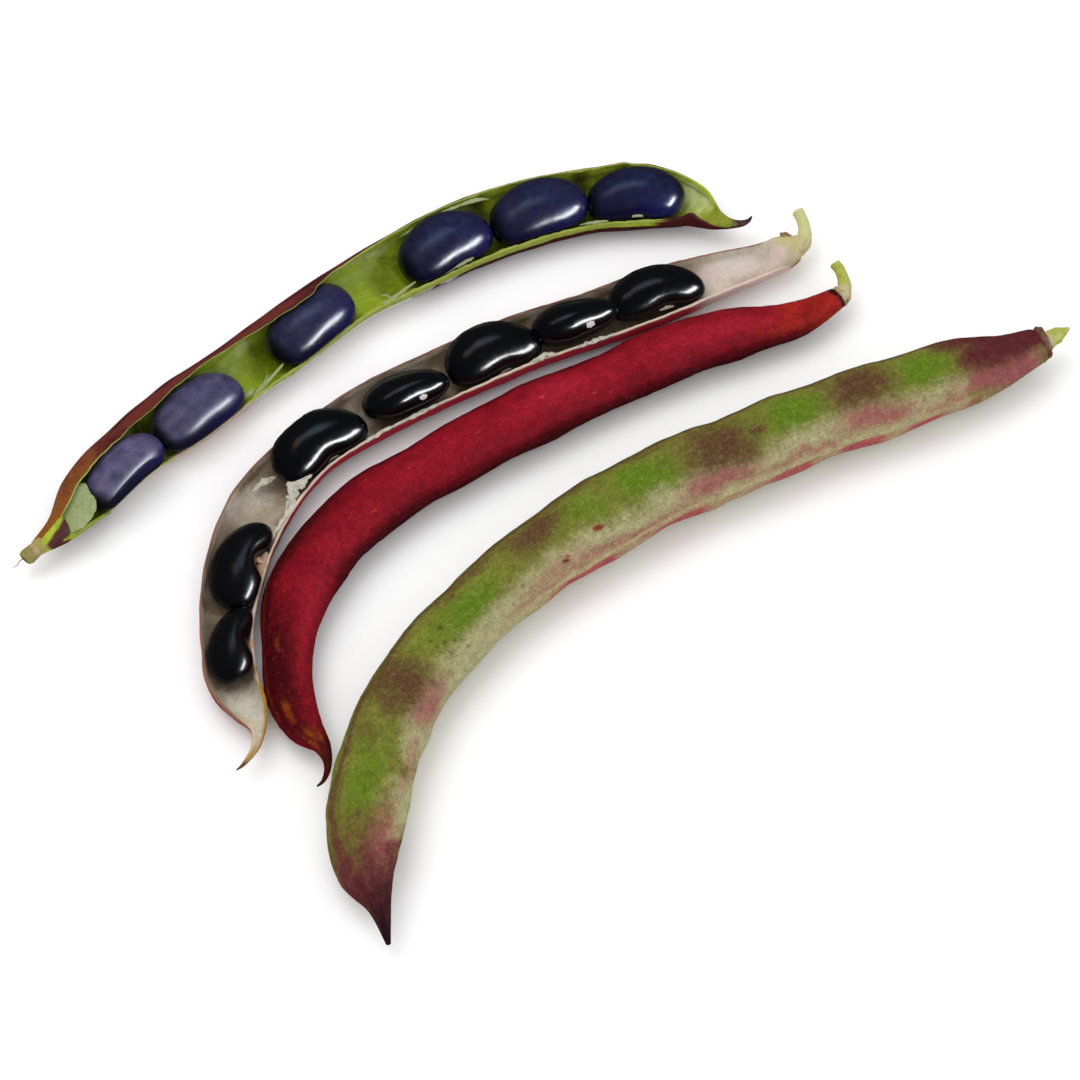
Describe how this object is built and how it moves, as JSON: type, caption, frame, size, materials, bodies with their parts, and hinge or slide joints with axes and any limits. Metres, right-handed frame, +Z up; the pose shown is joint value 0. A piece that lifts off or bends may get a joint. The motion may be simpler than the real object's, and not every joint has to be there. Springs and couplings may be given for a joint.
{
  "type": "bunch of bean pods",
  "caption": "Curved bean pods lying side by side, some closed and some opened like boats over rows of glossy kidney-shaped beans.",
  "frame": {"origin": "On the surface the bunch lies on, under the middle of its bounding box.", "axes": "+X along the pods, the bunch's longest extent; +Y across the row of pods, towards the pod with violet beans; +Z up from the surface, the bunch's shortest extent."},
  "size_m": [0.2246, 0.1414, 0.0159],
  "materials": {
    "violet_pod_skin": "lime-green flesh inside, maroon skin outside",
    "pale_pod_skin": "satin cream-pink lining, crimson skin outside",
    "red_pod_skin": "satin crimson skin with orange ends",
    "green_pod_skin": "satin green skin with purple-brown and pale bands",
    "violet_bean_coat": "glossy violet-blue seed coat",
    "black_bean_coat": "glossy black seed coat",
    "dry_stalk": "dry brown-green stalk",
    "fresh_stalk": "fresh yellow-green stalk"
  },
  "bodies": {
    "root": {"violet_pod": "violet_pod_skin", "violet_bean_1": "violet_bean_coat", "violet_bean_2": "violet_bean_coat", "violet_bean_3": "violet_bean_coat", "violet_bean_4": "violet_bean_coat", "violet_bean_5": "violet_bean_coat", "violet_bean_6": "violet_bean_coat", "violet_stalk": "dry_stalk", "pale_pod": "pale_pod_skin", "black_bean_1": "black_bean_coat", "black_bean_2": "black_bean_coat", "black_bean_3": "black_bean_coat", "black_bean_4": "black_bean_coat", "black_bean_5": "black_bean_coat", "black_bean_6": "black_bean_coat", "black_bean_7": "black_bean_coat", "pale_stalk": "fresh_stalk", "red_pod": "red_pod_skin", "red_stalk": "fresh_stalk", "green_pod": "green_pod_skin", "green_stalk": "fresh_stalk"}
  },
  "joints": []
}
